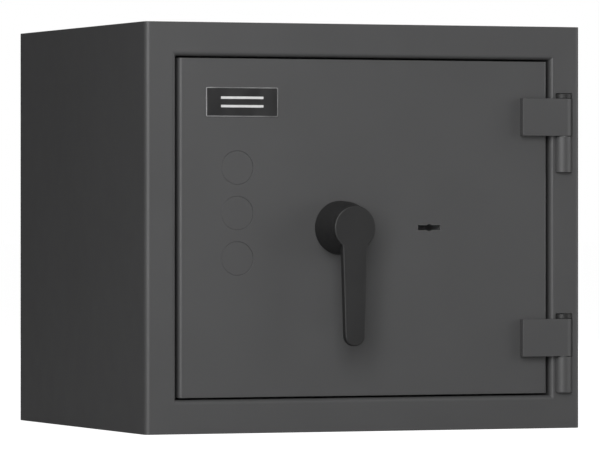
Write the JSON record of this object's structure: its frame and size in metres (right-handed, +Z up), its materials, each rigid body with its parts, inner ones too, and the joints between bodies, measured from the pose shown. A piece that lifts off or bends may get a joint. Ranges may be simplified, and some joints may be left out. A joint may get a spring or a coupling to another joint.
{
  "type": "key-locked box safe",
  "caption": "Small free-standing steel box safe with a flush hinged door, lever handle, double-bit key lock and three-way locking bolts.",
  "frame": {"origin": "centre of the body's underside", "axes": "+Z up; +X to the right of someone facing the door; the door faces -Y"},
  "size_m": [0.5, 0.458, 0.434],
  "materials": {
    "graphite_paint": "fine satin powder coat, graphite grey",
    "interior_paint": "satin light grey paint",
    "black_plastic": "fine-textured black moulded plastic",
    "filling": "rough cast fire-resisting filling, hidden",
    "plated_steel": "bright zinc plating",
    "plain_steel": "bare machined steel",
    "brass": "machined brass",
    "seal": "intumescent fire seal strip",
    "badge": null
  },
  "bodies": {
    "cabinet": {"anchor_plug_left": "black_plastic", "anchor_plug_right": "black_plastic", "anchor_sleeve_left": "plain_steel", "anchor_sleeve_right": "plain_steel", "door_seal": "seal", "hinge_knuckle_lower": "graphite_paint", "hinge_knuckle_upper": "graphite_paint", "hinge_pin_lower": "plated_steel", "hinge_pin_upper": "plated_steel", "hinge_washer_lower": "plain_steel", "hinge_washer_upper": "plain_steel", "inner_liner": "interior_paint", "jamb_frame": "graphite_paint", "outer_shell": "graphite_paint", "rear_panel": "graphite_paint", "shelf": "interior_paint", "shelf_rail_left": "interior_paint", "shelf_rail_right": "interior_paint", "wall_filling": "filling"},
    "door": {"badge_plate": "badge", "boltwork_casing": "interior_paint", "cover_screw_1": "plated_steel", "cover_screw_2": "plated_steel", "cover_screw_3": "plated_steel", "cover_screw_4": "plated_steel", "door_back_cover": "interior_paint", "door_filling": "filling", "door_skin": "graphite_paint", "drill_plate": "plain_steel", "face_plug_lower": "graphite_paint", "face_plug_middle": "graphite_paint", "face_plug_upper": "graphite_paint", "fixed_bolt_lower": "plated_steel", "fixed_bolt_middle": "plated_steel", "fixed_bolt_upper": "plated_steel", "hinge_block_lower": "graphite_paint", "hinge_block_upper": "graphite_paint", "hinge_cap_lower": "black_plastic", "hinge_cap_upper": "black_plastic", "key_tube": "plain_steel", "lock_case": "plain_steel", "lock_cover": "plain_steel", "spindle_bush": "brass"},
    "handle": {"lever_handle": "black_plastic", "handle_spindle": "plain_steel", "cam_disc": "plated_steel", "cam_collar": "plain_steel"},
    "side_boltwork": {"bolt_bar_side": "plated_steel", "side_bolt_upper": "plated_steel", "side_bolt_middle": "plated_steel", "side_bolt_lower": "plated_steel"},
    "top_boltwork": {"bolt_rod_top": "plated_steel", "end_bolt_top": "plated_steel"},
    "bottom_boltwork": {"bolt_rod_bottom": "plated_steel", "end_bolt_bottom": "plated_steel"},
    "lock_bolt": {"lock_bolt": "brass"},
    "key_barrel": {"key_barrel": "plain_steel"}
  },
  "joints": [
    {"name": "door_swing", "type": "hinge", "parent": "cabinet", "child": "door", "pos_m": [0.231, -0.204, 0.217], "axis": [0, 0, 1], "range_deg": [0, 90]},
    {"name": "handle_turn", "type": "hinge", "parent": "door", "child": "handle", "pos_m": [-0.0296, -0.206, 0.217], "axis": [0, 1, 0], "range_deg": [0, 90]},
    {"name": "side_bolts_slide", "type": "slide", "parent": "door", "child": "side_boltwork", "axis": [-1, 0, 0], "range_m": [0, 0.024]},
    {"name": "top_bolt_slide", "type": "slide", "parent": "door", "child": "top_boltwork", "axis": [0, 0, 1], "range_m": [0, 0.024]},
    {"name": "bottom_bolt_slide", "type": "slide", "parent": "door", "child": "bottom_boltwork", "axis": [0, 0, -1], "range_m": [0, 0.024]},
    {"name": "key_turn", "type": "hinge", "parent": "door", "child": "key_barrel", "pos_m": [0.0737, -0.206, 0.217], "axis": [0, -1, 0], "range_deg": [0, 180]},
    {"name": "lock_bolt_slide", "type": "slide", "parent": "door", "child": "lock_bolt", "axis": [-1, 0, 0], "range_m": [0, 0.014]}
  ],
  "couplings": [
    {"joint": "side_bolts_slide", "follows": "handle_turn", "m_per_rad": 0.015279},
    {"joint": "top_bolt_slide", "follows": "handle_turn", "m_per_rad": 0.015279},
    {"joint": "bottom_bolt_slide", "follows": "handle_turn", "m_per_rad": 0.015279},
    {"joint": "lock_bolt_slide", "follows": "key_turn", "m_per_rad": 0.0044563}
  ]
}
